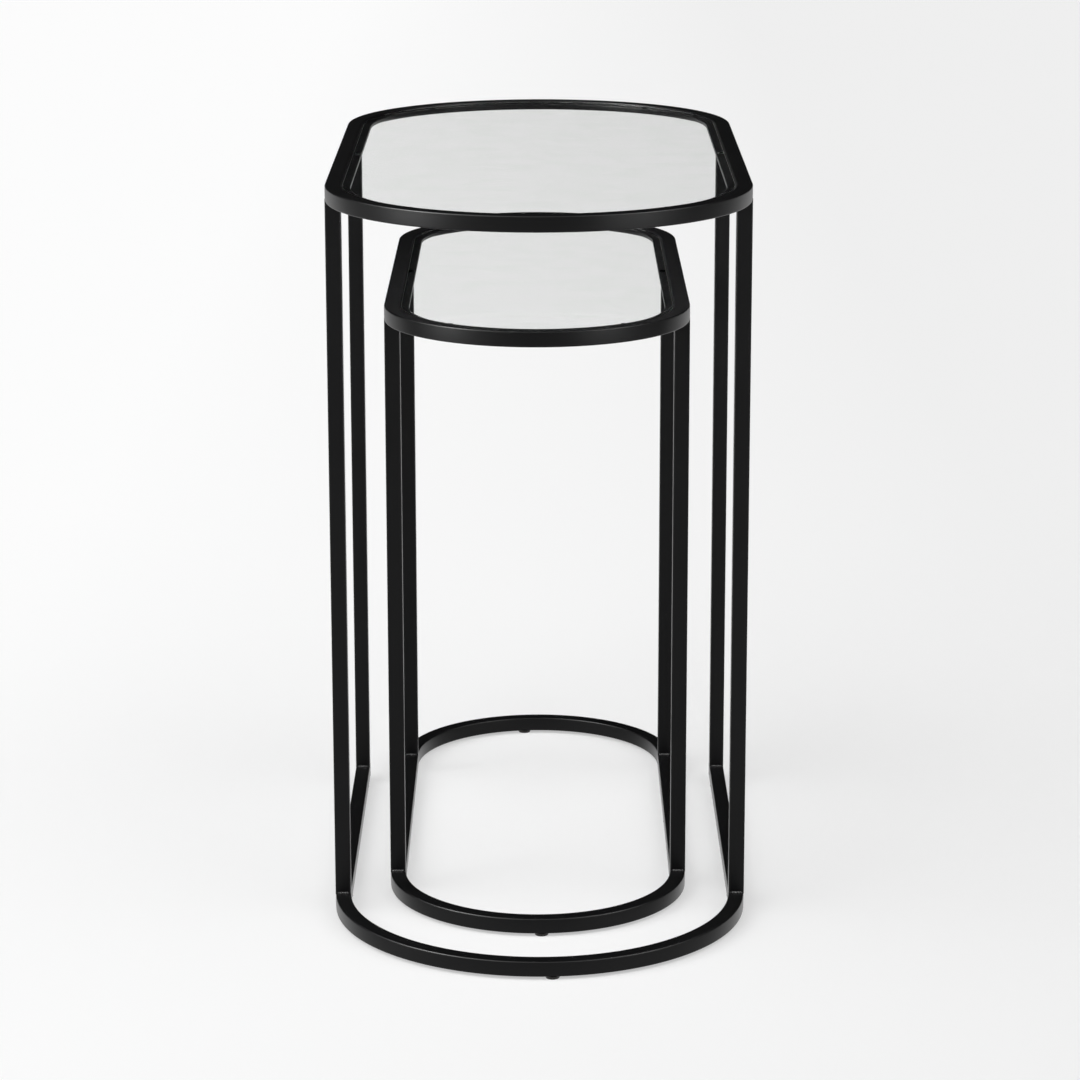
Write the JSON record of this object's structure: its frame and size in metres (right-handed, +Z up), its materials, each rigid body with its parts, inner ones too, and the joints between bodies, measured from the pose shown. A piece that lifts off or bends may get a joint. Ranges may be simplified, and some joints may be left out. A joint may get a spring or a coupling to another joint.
{
  "type": "nesting tables",
  "caption": "Nesting side tables with stadium-shaped drop-in glass tops on black square-tube frames; the smaller one slides out through the larger one's open-ended base.",
  "frame": {"origin": "on the floor under the middle of the large table, which is also the middle of the set's box", "axes": "+Z up, +Y along the straight sides towards the open rear of the large table's base, +X across the tables to the right as seen from the closed front"},
  "size_m": [0.335, 0.685, 0.6],
  "materials": {
    "black_powder_coat": "satin black powder coat on steel",
    "clear_glass": "clear float glass with ground and polished edges",
    "clear_pads": "clear soft bumper pads",
    "black_glides": "moulded black nylon"
  },
  "bodies": {
    "large_table": {"large_top_ring": "black_powder_coat", "large_glass_ledge": "black_powder_coat", "large_glass_pads": "clear_pads", "large_leg_front_left": "black_powder_coat", "large_leg_front_right": "black_powder_coat", "large_leg_rear_left": "black_powder_coat", "large_leg_rear_right": "black_powder_coat", "large_base_rail": "black_powder_coat", "large_rail_end_caps": "black_powder_coat", "large_glides": "black_glides", "large_weld_beads": "black_powder_coat"},
    "large_glass_top": {"large_glass": "clear_glass"},
    "small_table": {"small_top_ring": "black_powder_coat", "small_glass_ledge": "black_powder_coat", "small_glass_pads": "clear_pads", "small_leg_front_left": "black_powder_coat", "small_leg_front_right": "black_powder_coat", "small_leg_rear_left": "black_powder_coat", "small_leg_rear_right": "black_powder_coat", "small_base_ring": "black_powder_coat", "small_glides": "black_glides", "small_weld_beads": "black_powder_coat"},
    "small_glass_top": {"small_glass": "clear_glass"}
  },
  "joints": [
    {"name": "small_table_slide", "type": "slide", "parent": "large_table", "child": "small_table", "axis": [0, 1, 0], "range_m": [-0.08, 0.65]},
    {"name": "large_glass_lift", "type": "slide", "parent": "large_table", "child": "large_glass_top", "axis": [0, 0, 1], "range_m": [0, 0.1]},
    {"name": "small_glass_lift", "type": "slide", "parent": "small_table", "child": "small_glass_top", "axis": [0, 0, 1], "range_m": [0, 0.08]}
  ]
}
